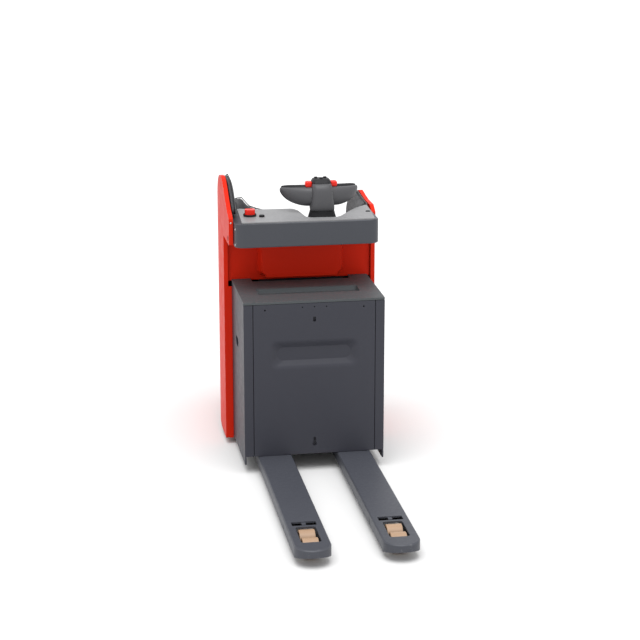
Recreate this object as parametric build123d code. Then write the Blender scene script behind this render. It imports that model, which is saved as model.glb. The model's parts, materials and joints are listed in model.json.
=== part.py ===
from build123d import *
import os
from math import asin, cos, degrees, pi, radians, sin, sqrt, tan

os.makedirs("parts", exist_ok=True)

# Electric pallet truck with a stand-in operator compartment. Millimetres, +Z up.
# The origin is on the floor at the middle of the truck's length and width.
# The forks point towards -Y and the operator stands at the +Y end.

# ---------------------------------------------------------------- driving sizes
OVERALL_LENGTH = 2416.0
CHASSIS_WIDTH = 746.0
FORK_LENGTH = 1173.0           # from the load section's front face to the tips
FORK_SPREAD = 540.0            # over the outer sides of both forks
FORK_WIDTH = 160.0
FORK_TOP = 85.0                # height of the lowered forks
FORK_UNDERSIDE = 33.0
LIFT_STROKE = 125.0
BOX_WIDTH = 670.0              # battery section
BOX_DEPTH = 458.0
BOX_TOP = 842.0                # top of the battery lid
PLATE = 8.0                    # welded plate
SHEET = 4.0                    # pressed sheet
GAP = 2.0                      # working gap between the load section and the chassis
FIT = 0.05                     # radial clearance of a running fit
CONSOLE_BOTTOM = 1067.0
CONSOLE_TOP = 1189.0
WHEEL_RADIUS = 127.0
WHEEL_WIDTH = 100.0
ROLLER_RADIUS = 42.5
ROLLER_WIDTH = 70.0
CASTOR_RADIUS = 62.5
CASTOR_WIDTH = 40.0
STEER_Y = 600.0                # steering axis of the drive unit
TILLER_X = 85.0
TILLER_Y = 265.0
SHELL_WALL = 20.0              # depth of the hollow side walls
RETURN_WIDTH = 38.0            # front return of the left side wall
PAD_THICKNESS = 28.0
PLATFORM_TOP = 190.0

TIP_Y = -OVERALL_LENGTH / 2
REAR_Y = OVERALL_LENGTH / 2
BOX_FRONT = TIP_Y + FORK_LENGTH
BOX_REAR = BOX_FRONT + BOX_DEPTH
BOX_HALF = BOX_WIDTH / 2
CHASSIS_HALF = CHASSIS_WIDTH / 2
FORK_X = (FORK_SPREAD - FORK_WIDTH) / 2

WIDE = 2 * CHASSIS_WIDTH        # past both sides, for cutting

PARTS = {}


def node(name, *solids):
    """Keep one named sub-part, as one solid or as a group of separate solids."""
    PARTS[name] = solids[0] if len(solids) == 1 else Compound(children=list(solids))


def block(x0, x1, y0, y1, z0, z1):
    """A box between two corners."""
    middle = ((x0 + x1) / 2, (y0 + y1) / 2, (z0 + z1) / 2)
    return Pos(*middle) * Box(abs(x1 - x0), abs(y1 - y0), abs(z1 - z0))


def bar(axis, x, y, z, radius, length):
    """A round bar centred on a point, along X, Y or Z."""
    turn = {"X": (0, 90, 0), "Y": (90, 0, 0), "Z": (0, 0, 0)}[axis]
    return Pos(x, y, z) * Rot(*turn) * Cylinder(radius, length)


def side_prism(points, x0, x1):
    """A prism with a (y, z) outline, between two x planes."""
    face = Plane.YZ * make_face(Polyline(*points, close=True))
    return Pos(min(x0, x1), 0, 0) * extrude(face, abs(x1 - x0))


def front_prism(points, y0, y1):
    """A prism with an (x, z) outline, between two y planes."""
    face = Plane.XZ * make_face(Polyline(*points, close=True))
    return Pos(0, max(y0, y1), 0) * extrude(face, abs(y1 - y0))


def flat_prism(points, z0, z1):
    """A prism with an (x, y) outline, between two heights."""
    return Pos(0, 0, z0) * extrude(make_face(Polyline(*points, close=True)), z1 - z0)


# ---------------------------------------------------------------- plan of the truck
SIDE_STRAIGHT_END = 565.0      # the sides are straight up to here, then draw in
SIDE_CURVE = 1500.0            # radius of the drawn-in sides
SIDE_CURVE_END = 1060.0
REAR_CORNER = 120.0
PLAN_FRONT = 150.0


def plan(inset):
    """The outline of the chassis seen from above, drawn in by an even inset."""
    radius = SIDE_CURVE - inset
    turn = asin((SIDE_CURVE_END - SIDE_STRAIGHT_END) / SIDE_CURVE)
    half = CHASSIS_HALF - inset
    mid_x = half - radius * (1 - cos(turn / 2))
    mid_y = SIDE_STRAIGHT_END + radius * sin(turn / 2)
    end_x = half - radius * (1 - cos(turn))
    end_y = SIDE_STRAIGHT_END + radius * sin(turn)
    rear = REAR_Y - inset
    corner_x = end_x - (rear - end_y) * tan(turn)
    edges = [Line((-half, PLAN_FRONT), (half, PLAN_FRONT)),
             Line((half, PLAN_FRONT), (half, SIDE_STRAIGHT_END)),
             ThreePointArc((half, SIDE_STRAIGHT_END), (mid_x, mid_y), (end_x, end_y)),
             Line((end_x, end_y), (corner_x, rear)),
             Line((corner_x, rear), (-corner_x, rear)),
             Line((-corner_x, rear), (-end_x, end_y)),
             ThreePointArc((-end_x, end_y), (-mid_x, mid_y), (-half, SIDE_STRAIGHT_END)),
             Line((-half, SIDE_STRAIGHT_END), (-half, PLAN_FRONT))]
    face = make_face(Wire(edges))
    corners = face.vertices().sort_by(Axis.Y)[-2:]
    return fillet(corners, max(REAR_CORNER - inset, 20))


def band(outer, inner, z0, z1):
    """A wall that follows the plan outline between two insets and two heights."""
    return Pos(0, 0, z0) * extrude(plan(outer) - plan(inner), z1 - z0)


def filled(inset, z0, z1):
    """A floor that fills the plan outline at one inset."""
    return Pos(0, 0, z0) * extrude(plan(inset), z1 - z0)


# ---------------------------------------------------------------- forks
FORK_PLATE = 8.0
FORK_SIDE = 6.0
FORK_REAR = BOX_REAR - 18
NOSE_RADIUS = 78.0
OPENING_HALF = 44.0            # the roller opening in the fork's top
OPENING = (-1112.0, -938.0)
OPENING_CORNER = 14.0
SLOT = (-922.0, -880.0)        # the narrow service slot behind it
SLOT_HALF = 54.0
NOSE_START = -1130.0           # the fork is solid from here to the tip

# ---------------------------------------------------------------- load arms and lift linkage
ARM_Y = -840.0
ARM_Z = 50.0
BOGIE_Y = -1022.0
ROLLER_SPACING = 92.0
ROCKER_Y = 375.0
EAR = 18.0
ARM_LENGTH = sqrt((ARM_Y - BOGIE_Y) ** 2 + (ARM_Z - ROLLER_RADIUS) ** 2)
ARM_SWING = asin((ARM_Z - ROLLER_RADIUS + LIFT_STROKE) / ARM_LENGTH) \
    - asin((ARM_Z - ROLLER_RADIUS) / ARM_LENGTH)
ROD_TRAVEL = EAR * sin(ARM_SWING)
PIN_RADIUS = 10.0


SEAT_STEP = 2.0                # the forks step down where the battery section sits


def fork(x):
    """One fork: an open-bottomed channel with a rounded, solid nose."""
    left, right = x - FORK_WIDTH / 2, x + FORK_WIDTH / 2
    body = block(left, right, TIP_Y, FORK_REAR, FORK_UNDERSIDE, FORK_TOP)
    nose = body.edges().filter_by(Axis.Z).group_by(Axis.Y)[0]
    body = fillet(nose, NOSE_RADIUS)
    ramp = side_prism([(TIP_Y - 1, FORK_UNDERSIDE - 1), (TIP_Y + 70, FORK_UNDERSIDE - 1),
                       (TIP_Y - 1, FORK_UNDERSIDE + 18)], left - 1, right + 1)
    body -= ramp
    top_rim = body.edges().group_by(Axis.Z)[-1]
    body = chamfer(top_rim, 5)
    body -= block(left - 1, right + 1, BOX_FRONT - 1, FORK_REAR + 1, FORK_TOP - SEAT_STEP,
                  FORK_TOP + 1)
    body -= block(left + FORK_SIDE, right - FORK_SIDE, NOSE_START, FORK_REAR + 1,
                  FORK_UNDERSIDE - 1, FORK_TOP - FORK_PLATE)
    window = block(x - OPENING_HALF, x + OPENING_HALF, *OPENING, FORK_TOP - 12, FORK_TOP + 1)
    body -= fillet(window.edges().filter_by(Axis.Z), OPENING_CORNER)
    body -= block(x - SLOT_HALF, x + SLOT_HALF, *SLOT, FORK_TOP - 12, FORK_TOP + 1)
    body += block(x - 9, x + 9, SLOT[0] + 14, SLOT[1], FORK_TOP - FORK_PLATE, FORK_TOP - 3)
    body -= bar("X", x, ARM_Y, ARM_Z, PIN_RADIUS + FIT, FORK_WIDTH + 2)
    inner = x - 74 * (1 if x > 0 else -1)
    body -= bar("X", inner, ROCKER_Y, ARM_Z, PIN_RADIUS + FIT, 40)
    return body


def load_arm(x):
    """A load arm: two cheeks on a pivot tube, with an ear for the push rod and stub pins."""
    arm = bar("X", x, ARM_Y, ARM_Z, PIN_RADIUS, FORK_WIDTH - 2)
    for side in (-1, 1):
        inner, outer = x + side * 48, x + side * 56
        cheek = side_prism([(ARM_Y + 14, ARM_Z - 14), (ARM_Y + 14, ARM_Z + 14),
                            (ARM_Y - 20, ARM_Z + 18), (BOGIE_Y - 16, ROLLER_RADIUS + 16),
                            (BOGIE_Y - 16, ROLLER_RADIUS - 14)], min(inner, outer),
                           max(inner, outer))
        arm += cheek
        arm += bar("X", x + side * 46.5, BOGIE_Y, ROLLER_RADIUS, PIN_RADIUS, 18)
    arm += block(x - 6, x + 6, ARM_Y - 8, ARM_Y + 8, ARM_Z, ARM_Z + EAR + 6)
    return arm


def bogie(x):
    """The tandem carrier: two side plates and the two roller axles."""
    plates = []
    for side in (-1, 1):
        inner, outer = x + side * 38.5, x + side * 46
        ys = (BOGIE_Y - ROLLER_SPACING / 2 - 14, BOGIE_Y + ROLLER_SPACING / 2 + 14)
        plate = side_prism([(ys[0], 32), (ys[0] + 8, 56), (ys[1] - 8, 56), (ys[1], 32),
                            (ys[1] - 10, 26), (ys[0] + 10, 26)], min(inner, outer),
                           max(inner, outer))
        plate -= bar("X", x + side * 46.5, BOGIE_Y, ROLLER_RADIUS, PIN_RADIUS + FIT, 20)
        plates.append(plate)
    carrier = plates[0] + plates[1]
    for step in (-0.5, 0.5):
        carrier += bar("X", x, BOGIE_Y + step * ROLLER_SPACING, ROLLER_RADIUS, 8, 92)
    return carrier


def load_roller(x, y):
    """One load roller, with a bore that runs on its axle."""
    roller = bar("X", x, y, ROLLER_RADIUS, ROLLER_RADIUS, ROLLER_WIDTH)
    roller = chamfer(roller.edges().filter_by(GeomType.CIRCLE), 2)
    return roller - bar("X", x, y, ROLLER_RADIUS, 8 + FIT, ROLLER_WIDTH + 2)


def push_rod(x):
    """A flat rod inside the fork, from the rocker's ear to the load arm's ear."""
    front = ARM_Y + 8 + 2 * GAP
    rear = ROCKER_Y - 8 - 2 * GAP
    return block(x - 6, x + 6, front, rear, ARM_Z + 14, ARM_Z + 24)


for side_name, sign in (("left", -1), ("right", 1)):
    node(side_name + "_fork", fork(sign * FORK_X))
    node(side_name + "_load_arm", load_arm(sign * FORK_X))
    node(side_name + "_bogie", bogie(sign * FORK_X))
    for place, step in (("front", -0.5), ("rear", 0.5)):
        node(f"{side_name}_{place}_roller",
             load_roller(sign * FORK_X, BOGIE_Y + step * ROLLER_SPACING))
node("push_rods", push_rod(-FORK_X), push_rod(FORK_X))

rocker = bar("X", 0, ROCKER_Y, ARM_Z, PIN_RADIUS, 2 * FORK_X + 30)
for sign in (-1, 1):
    rocker += block(sign * FORK_X - 6, sign * FORK_X + 6, ROCKER_Y - 8, ROCKER_Y + 8,
                    ARM_Z, ARM_Z + EAR + 6)
node("rocker_shaft", rocker)

# ---------------------------------------------------------------- battery section
PANEL_HALF = 290.0
PANEL_TOP = BOX_TOP - 13
PANEL_BOTTOM = FORK_TOP + 1
SEAM = 1.5
SEAM_END = 171.0               # the open part of the panel's side seams ends here
LID_BOTTOM = PANEL_TOP + 1.5
NOTCH_HALF = 240.0             # rear notch that clears the hood's bulge
NOTCH_DEPTH = 64.0
FLOOR_Z = FORK_TOP - SEAT_STEP
BRACKET_X = -230.0
BRACKET_Z = 680.0
LIFT_AXIS_Y = 492.0
SKIRT_BOTTOM = 46.0
RAIL_X = 300.0
SHOE_HALF = 10.0

side_plate = block(BOX_HALF - PLATE, BOX_HALF, BOX_FRONT, BOX_REAR, SKIRT_BOTTOM, PANEL_TOP)
side_slot = extrude(Plane.YZ * SlotOverall(90, 42), 2 * PLATE)
frame = side_plate + mirror(side_plate, Plane.YZ)
frame -= Pos(-BOX_HALF - PLATE / 2, BOX_FRONT + 257, 586) * side_slot
for sign in (-1, 1):
    flange = (sign * (PANEL_HALF + SEAM), sign * BOX_HALF)
    frame += block(min(flange), max(flange), BOX_FRONT, BOX_FRONT + PLATE, PANEL_BOTTOM,
                   PANEL_TOP)
frame += block(-BOX_HALF + PLATE / 2, BOX_HALF - PLATE / 2, BOX_REAR - PLATE, BOX_REAR, FLOOR_Z,
               PANEL_TOP)
frame -= block(-NOTCH_HALF, NOTCH_HALF, BOX_REAR - 2 * PLATE, BOX_REAR + 1, 725, PANEL_TOP + 1)
frame += block(-BOX_HALF + PLATE / 2, BOX_HALF - PLATE / 2, BOX_FRONT + PLATE + 2, BOX_REAR,
               FLOOR_Z, FLOOR_Z + PLATE)
frame += block(BRACKET_X - 22, BRACKET_X + 22, BOX_REAR - 1, LIFT_AXIS_Y + 24, BRACKET_Z,
               BRACKET_Z + 16)
frame += side_prism([(BOX_REAR - 1, BRACKET_Z - 60), (BOX_REAR - 1, BRACKET_Z + 1),
                     (BOX_REAR + 30, BRACKET_Z + 1)], BRACKET_X - 5, BRACKET_X + 5)
node("battery_frame", frame)

panel = block(-PANEL_HALF, PANEL_HALF, BOX_FRONT, BOX_FRONT + SHEET, SEAM_END, PANEL_TOP)
panel += block(-PANEL_HALF - SEAM + 0.4, PANEL_HALF + SEAM - 0.4, BOX_FRONT, BOX_FRONT + SHEET,
               PANEL_BOTTOM, SEAM_END)
PRESS_DEPTH = 16.0
press_back = Plane.XZ * RectangleRounded(416, 130, 32)
press_front = Plane.XZ * RectangleRounded(408, 122, 30)
panel += Pos(0, BOX_FRONT + PRESS_DEPTH + SHEET, 583) * extrude(press_back, PRESS_DEPTH)
panel -= Pos(0, BOX_FRONT + PRESS_DEPTH, 583) * extrude(press_front, PRESS_DEPTH + 1)
PANEL_HOLE = 3.0
RACK_SPACING = 468.0           # two bolt holes near the panel's top corners
RACK_HOLE = 4.0
for hole_x in (-57, 0, 57):
    panel -= bar("Y", hole_x, BOX_FRONT, 811, PANEL_HOLE, 20)
for hole_x in (-RACK_SPACING / 2, RACK_SPACING / 2):
    panel -= bar("Y", hole_x, BOX_FRONT, 803, RACK_HOLE, 20)
hook = extrude(Plane.XZ * SlotOverall(24, 14, rotation=90), 20)
panel -= Pos(0, BOX_FRONT + 10, 751) * hook
keyhole = extrude(Plane.XZ * SlotOverall(40, 13, rotation=90), 20)
panel -= Pos(0, BOX_FRONT + 10, 150) * keyhole
panel -= bar("Y", 0, BOX_FRONT, 134, 10, 20)
node("front_panel", panel)

lid = block(-BOX_HALF, BOX_HALF, BOX_FRONT, BOX_REAR, LID_BOTTOM, BOX_TOP)
lid = chamfer(lid.edges().group_by(Axis.Z)[-1], 6)
lid -= block(-NOTCH_HALF, NOTCH_HALF, BOX_REAR - NOTCH_DEPTH, BOX_REAR + 1, LID_BOTTOM - 1,
             BOX_TOP + 1)
GRIP_FRONT = BOX_FRONT + 140
GRIP_REAR = BOX_FRONT + 248
GRIP_HALF = 243.0
grip = side_prism([(GRIP_FRONT, BOX_TOP + 1), (GRIP_FRONT, BOX_TOP - 0.5),
                   (GRIP_REAR - 38, LID_BOTTOM + 2.5), (GRIP_REAR - 30, LID_BOTTOM + 2.5),
                   (GRIP_REAR, BOX_TOP + 1)], -GRIP_HALF, GRIP_HALF)
node("battery_lid", lid - grip)

TRAY_HALF = 305.0
TRAY_FRONT = BOX_FRONT + 24
TRAY_REAR = BOX_REAR - 74
TRAY_BOTTOM = FLOOR_Z + PLATE
TRAY_TOP = 700.0
tray = block(-TRAY_HALF, TRAY_HALF, TRAY_FRONT, TRAY_REAR, TRAY_BOTTOM, TRAY_TOP)
tray -= block(-TRAY_HALF + SHEET, TRAY_HALF - SHEET, TRAY_FRONT + SHEET, TRAY_REAR - SHEET,
              TRAY_BOTTOM + SHEET, TRAY_TOP + 1)
for sign in (-1, 1):
    tray -= bar("X", sign * TRAY_HALF, (TRAY_FRONT + TRAY_REAR) / 2, TRAY_TOP - 40, 18, 20)
node("battery_tray", tray)

CELL_COLUMNS = 6
CELL_ROWS = 2
cell_width = (2 * (TRAY_HALF - SHEET) - 2) / CELL_COLUMNS
cell_depth = (TRAY_REAR - TRAY_FRONT - 2 * SHEET - 2) / CELL_ROWS
cells = []
for column in range(CELL_COLUMNS):
    for row in range(CELL_ROWS):
        x0 = -TRAY_HALF + SHEET + 1 + column * cell_width
        y0 = TRAY_FRONT + SHEET + 1 + row * cell_depth
        cell = block(x0 + 0.5, x0 + cell_width - 0.5, y0 + 0.5, y0 + cell_depth - 0.5,
                     TRAY_BOTTOM + SHEET, TRAY_TOP - 14)
        cell += bar("Z", x0 + cell_width / 2, y0 + cell_depth / 2, TRAY_TOP - 8, 14, 14)
        for end in (0.25, 0.75):
            cell += bar("Z", x0 + cell_width / 2, y0 + end * cell_depth + 0.01, TRAY_TOP - 9,
                        8, 12)
        cells.append(cell)
node("battery_cells", *cells)

CONNECTOR_Y = TRAY_REAR + 6
connector = block(120, 200, CONNECTOR_Y, CONNECTOR_Y + 45, 640, 700)
connector -= block(128, 156, CONNECTOR_Y + 8, CONNECTOR_Y + 37, 670, 701)
connector -= block(164, 192, CONNECTOR_Y + 8, CONNECTOR_Y + 37, 670, 701)
connector += block(140, 180, TRAY_REAR, CONNECTOR_Y + 1, 655, 685)
node("battery_connector", connector)

shoes = [block(sign * RAIL_X - SHOE_HALF, sign * RAIL_X + SHOE_HALF, BOX_REAR, BOX_REAR + 18,
               low, low + 60) for sign in (-1, 1) for low in (200, 625)]
node("guide_shoes", *shoes)

# ---------------------------------------------------------------- chassis frame
BULKHEAD_Y = BOX_REAR + 22
BACK_Y = STEER_Y + 165
MOTOR_PLATE_Z = 340.0
SLEW_RADIUS = 100.0
PINION_REACH = 150.0
BASE_Z = 170.0
CASTOR_X = 150.0
CASTOR_Y = 930.0
CASTOR_STEM = 12.0
FRAME_HALF = CHASSIS_HALF - SHELL_WALL - 33
FRAME_INSET = RETURN_WIDTH + 5

frame = block(-FRAME_HALF, FRAME_HALF, BULKHEAD_Y, BULKHEAD_Y + PLATE, 90, 1058)
frame -= block(BRACKET_X - 32, BRACKET_X + 32, BULKHEAD_Y - 1, BULKHEAD_Y + PLATE + 1,
               BRACKET_Z - 20, BRACKET_Z + LIFT_STROKE + 36)
for sign in (-1, 1):
    for inner in (SHOE_HALF + 0.5, -SHOE_HALF - 12):
        x0 = sign * RAIL_X + inner
        frame += block(x0, x0 + 11.5, BOX_REAR + 3, BULKHEAD_Y + 1, 90, 822)
    frame += block(sign * FRAME_HALF - (PLATE if sign > 0 else 0),
                   sign * FRAME_HALF + (0 if sign > 0 else PLATE), BULKHEAD_Y, BACK_Y,
                   90, 470)
motor_plate = block(-FRAME_HALF, FRAME_HALF, BULKHEAD_Y + 1, BACK_Y - 1, MOTOR_PLATE_Z,
                    MOTOR_PLATE_Z + 12)
motor_plate -= bar("Z", 0, STEER_Y, MOTOR_PLATE_Z, SLEW_RADIUS + FIT, 60)
motor_plate -= bar("Z", PINION_REACH, STEER_Y, MOTOR_PLATE_Z, 12, 60)
frame += motor_plate
frame += block(-FRAME_HALF, FRAME_HALF, BACK_Y - PLATE, BACK_Y, BASE_Z, 1030)
base = filled(FRAME_INSET, BASE_Z, BASE_Z + PLATE)
base -= block(-WIDE, WIDE, 0, BACK_Y - 1, 0, 400)
skirt = band(FRAME_INSET, FRAME_INSET + PLATE, 60, BASE_Z + 1)
skirt -= block(-WIDE, WIDE, 0, BACK_Y - 1, 0, 400)
frame += base + skirt
for sign in (-1, 1):
    frame -= bar("Z", sign * CASTOR_X, CASTOR_Y, BASE_Z, CASTOR_STEM + FIT, 40)
node("chassis_frame", frame)

# ---------------------------------------------------------------- lift cylinder
ROD_RADIUS = 20.0
CYLINDER_BOTTOM = MOTOR_PLATE_Z + 12
barrel = bar("Z", BRACKET_X, LIFT_AXIS_Y, (CYLINDER_BOTTOM + 600) / 2, 30,
             600 - CYLINDER_BOTTOM)
barrel += bar("Z", BRACKET_X, LIFT_AXIS_Y, 590, 34, 20)
barrel -= bar("Z", BRACKET_X, LIFT_AXIS_Y, (CYLINDER_BOTTOM + 660) / 2 + 12,
              ROD_RADIUS + FIT, 660 - CYLINDER_BOTTOM)
node("lift_cylinder", barrel)
rod_bottom = CYLINDER_BOTTOM + 50
lift_rod = bar("Z", BRACKET_X, LIFT_AXIS_Y, (rod_bottom + BRACKET_Z) / 2, ROD_RADIUS,
               BRACKET_Z - rod_bottom)
node("lift_rod", lift_rod)

# ---------------------------------------------------------------- drive unit
RING_TEETH = 48
PINION_TEETH = 12
MODULE = 5.0
RING_Z = 304.0


def gear(teeth, x, y, z0, z1, phase, bore):
    """A spur gear with plain, straight-sided teeth and a round bore."""
    pitch = MODULE * teeth / 2
    root, tip = pitch - 1.2 * MODULE, pitch + 0.8 * MODULE
    points = []
    step = 2 * pi / teeth
    for index in range(teeth):
        middle = radians(phase) + index * step
        for share, radius in ((-0.29, root), (-0.12, tip), (0.12, tip), (0.29, root)):
            angle = middle + share * step
            points.append((x + radius * cos(angle), y + radius * sin(angle)))
    return flat_prism(points, z0, z1) - bar("Z", x, y, (z0 + z1) / 2, bore, 2 * (z1 - z0))


LEG_X = (-140.0, -56.0)
BULKHEAD_GAP = STEER_Y - BULKHEAD_Y - PLATE - 4
gearbox = block(*LEG_X, STEER_Y - 60, STEER_Y + 60, 62, 302)
gearbox = fillet(gearbox.edges().filter_by(Axis.X), 40)
gearbox &= bar("Z", 0, STEER_Y, 182, BULKHEAD_GAP, 250)
gearbox += bar("Z", 0, STEER_Y, 283, 125, 38)
gearbox += bar("X", -10, STEER_Y, WHEEL_RADIUS, 25, 100)
gearbox -= block(-55, 200, STEER_Y - 200, STEER_Y + 200, 220, 263)
node("drive_gearbox", gearbox)
node("steer_ring", gear(RING_TEETH, 0, STEER_Y, RING_Z - 2, RING_Z + 18, 0, 85))
motor = bar("Z", 0, STEER_Y, RING_Z + 18 + 17, SLEW_RADIUS, 34)
motor += bar("Z", 0, STEER_Y, 357, 112, 7)
motor += bar("Z", 0, STEER_Y, 450, 90, 180)
for index in range(24):
    turn = index * 15
    fin = Pos(0, STEER_Y, 450) * Rot(0, 0, turn) * block(88, 95, -2, 2, -70, 70)
    motor += fin
node("drive_motor", motor)
brake = bar("Z", 0, STEER_Y, 560, 62, 40) + bar("Z", 0, STEER_Y, 584, 40, 8)
node("parking_brake", brake)
hub = bar("X", 0, STEER_Y, WHEEL_RADIUS, 88, 90)
hub -= bar("X", 0, STEER_Y, WHEEL_RADIUS, 25 + FIT, 120)
hub -= bar("X", 45, STEER_Y, WHEEL_RADIUS, 70, 24) - bar("X", 45, STEER_Y, WHEEL_RADIUS, 36, 30)
node("drive_wheel_hub", hub)
tyre = bar("X", 0, STEER_Y, WHEEL_RADIUS, WHEEL_RADIUS, WHEEL_WIDTH)
tyre = fillet(tyre.edges().filter_by(GeomType.CIRCLE), 8)
tyre -= bar("X", 0, STEER_Y, WHEEL_RADIUS, 88, WHEEL_WIDTH + 20)
node("drive_tyre", tyre)

steer_motor = block(PINION_REACH - 40, PINION_REACH + 40, STEER_Y - 40, STEER_Y + 40, 352, 440)
steer_motor = fillet(steer_motor.edges().filter_by(Axis.Z), 12)
steer_motor -= bar("Z", PINION_REACH, STEER_Y, 360, 8 + FIT, 60)
steer_motor -= bar("Z", 0, STEER_Y, 357, 113, 9)
steer_motor -= bar("Z", 0, STEER_Y, 420, 97, 200)
node("steering_motor", steer_motor)
pinion = gear(PINION_TEETH, PINION_REACH, STEER_Y, RING_Z, RING_Z + 18, 15, 4)
pinion += bar("Z", PINION_REACH, STEER_Y, RING_Z + 40, 8, 80)
node("steering_pinion", pinion)

# ---------------------------------------------------------------- castors
TRAIL = 30.0
YOKE_TOP = 160.0
for side_name, sign in (("left", -1), ("right", 1)):
    x = sign * CASTOR_X
    axle_y = CASTOR_Y + TRAIL
    yoke = bar("Z", x, CASTOR_Y, YOKE_TOP - 5, 42, 14)
    yoke += bar("Z", x, CASTOR_Y, YOKE_TOP + 8, CASTOR_STEM, 19)
    for cheek in (-1, 1):
        inner, outer = x + cheek * 24, x + cheek * 31
        yoke += side_prism([(CASTOR_Y - 28, YOKE_TOP - 4), (axle_y - 16, CASTOR_RADIUS - 12),
                            (axle_y + 16, CASTOR_RADIUS - 12), (CASTOR_Y + 34, YOKE_TOP - 4)],
                           min(inner, outer), max(inner, outer))
    yoke += bar("X", x, axle_y, CASTOR_RADIUS, 8, 62)
    node(side_name + "_castor_yoke", yoke)
    wheel = bar("X", x, axle_y, CASTOR_RADIUS, CASTOR_RADIUS, CASTOR_WIDTH)
    wheel = fillet(wheel.edges().filter_by(GeomType.CIRCLE), 5)
    wheel -= bar("X", x, axle_y, CASTOR_RADIUS, 8 + FIT, CASTOR_WIDTH + 2)
    node(side_name + "_castor_wheel", wheel)

# ---------------------------------------------------------------- pump and controller
pump = block(205, 300, 485, 560, 480, 560) + bar("Z", 252, 522, 640, 36, 160)
pump += block(205, 306, 470, 575, 352, 480)
node("pump_unit", pump)
controller = block(-300, -150, 690, 740, 500, 720)
for index in range(9):
    x0 = -292 + index * 16
    controller += block(x0, x0 + 4, 672, 691, 505, 715)
node("motor_controller", controller)

# ---------------------------------------------------------------- hood and compartment wall
HOOD_BOTTOM = 826.0
HOOD_FRONT = BOX_REAR + 9
BULGE_FRONT = BOX_REAR - 55
BULGE_BOTTOM = 862.0
BULGE = (-196.0, 204.0)
HOOD_TOP = CONSOLE_BOTTOM - 1
HOOD_LEFT = -CHASSIS_HALF + RETURN_WIDTH + 2
HOOD_RIGHT = CHASSIS_HALF - SHELL_WALL - 2

hood = block(HOOD_LEFT, HOOD_RIGHT, HOOD_FRONT, BULKHEAD_Y - 0.5, HOOD_BOTTOM, HOOD_TOP)
hood += block(-CHASSIS_HALF + SHELL_WALL + 2, HOOD_LEFT + 1, HOOD_FRONT, BULKHEAD_Y - 0.5, 832,
              HOOD_TOP)
bulge = block(*BULGE, BULGE_FRONT, HOOD_FRONT + 5, BULGE_BOTTOM, HOOD_TOP)
bulge = fillet(bulge.edges().filter_by(Axis.Z).group_by(Axis.Y)[0], 26)
hood += bulge
hood -= block(BULGE[0] + 30, BULGE[1] - 30, BULGE_FRONT + 6, BULKHEAD_Y, BULGE_BOTTOM + 6,
              HOOD_TOP + 1)
node("motor_hood", hood)
wall = block(-FRAME_HALF, FRAME_HALF, BACK_Y, BACK_Y + 6, PLATFORM_TOP + 2, 1040)
wall += block(-FRAME_HALF, FRAME_HALF, BULKHEAD_Y + PLATE, BACK_Y + 6, 1032, 1040)
node("compartment_wall", wall)

# ---------------------------------------------------------------- side shells
SHELL_BOTTOM = 36.0
SHELL_FRONT = BOX_REAR - 13
SHELL_SKIN = 5.0
CONSOLE_FRONT = 115.0
SHELL_SCREWS = ((195.0, 1178.0),)
WING_FRONT = 178.0             # the left shell's forward wing beside the console
REAR_ENTRY = (-70.0, 855.0)    # the left shell ends at this x, the right shell at this y

left_profile = [(SHELL_FRONT, SHELL_BOTTOM), (SHELL_FRONT, 809), (SHELL_FRONT + 34, 830),
                (SHELL_FRONT + 34, CONSOLE_BOTTOM), (WING_FRONT, CONSOLE_BOTTOM),
                (WING_FRONT, 1200), (255, 1225), (328, 1268), (400, 1314), (444, 1334),
                (485, 1343), (560, 1334), (619, 1307), (700, 1236), (800, 1168), (880, 1142),
                (960, 1126), (1065, 1100), (REAR_Y - 60, 1072), (REAR_Y + 1, 1072),
                (REAR_Y + 1, SHELL_BOTTOM)]
right_profile = [(SHELL_FRONT, SHELL_BOTTOM), (SHELL_FRONT, 1064), (400, 1064), (400, 1157),
                 (451, 1184), (575, 1182), (640, 1190), (708, 1205), (780, 1184),
                 (830, 1130), (REAR_ENTRY[1], 1080), (REAR_ENTRY[1], SHELL_BOTTOM)]
# the rear wall's rim falls towards the entry: (x, z) of what is cut away above it
rear_fall = [(-200, 1082), (-170, 1056), (-149, 1040), (-112, 1026), (-60, 1012),
             (-60, 1400), (-200, 1400)]


def shell(profile, x0, x1):
    """A hollow side wall: outer skin, inner skin, front return and rounded top."""
    cut = side_prism(profile, x0, x1)
    wall = band(0, SHELL_WALL, SHELL_BOTTOM, 1360) & cut
    inner = band(SHELL_SKIN, SHELL_WALL - SHELL_SKIN, SHELL_BOTTOM - 1, 1360)
    shrunk = side_prism([(y, z - 14) for y, z in profile], x0, x1)
    hollow = inner & shrunk
    hollow -= block(-WIDE, WIDE, 0, SHELL_FRONT + 40, 0, 1400)
    return wall - hollow


left = shell(left_profile, -WIDE, REAR_ENTRY[0])
left -= front_prism(rear_fall, REAR_Y - 120, REAR_Y + 1)
left += block(-CHASSIS_HALF + SHELL_SKIN, -CHASSIS_HALF + RETURN_WIDTH, SHELL_FRONT,
              SHELL_FRONT + SHELL_SKIN, SHELL_BOTTOM, 809)
left -= Pos(-CHASSIS_HALF - 2, 210, 1097) * extrude(Plane.YZ * SlotOverall(24, 9, rotation=90), 9)
for screw_y, screw_z in SHELL_SCREWS:
    left -= bar("X", -CHASSIS_HALF, screw_y, screw_z, 5.5, 6)
node("left_shell", left)
right = shell(right_profile, 0, WIDE)
right -= block(0, WIDE, REAR_ENTRY[1], REAR_Y + 1, 0, 1400)
node("right_shell", right)

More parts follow.
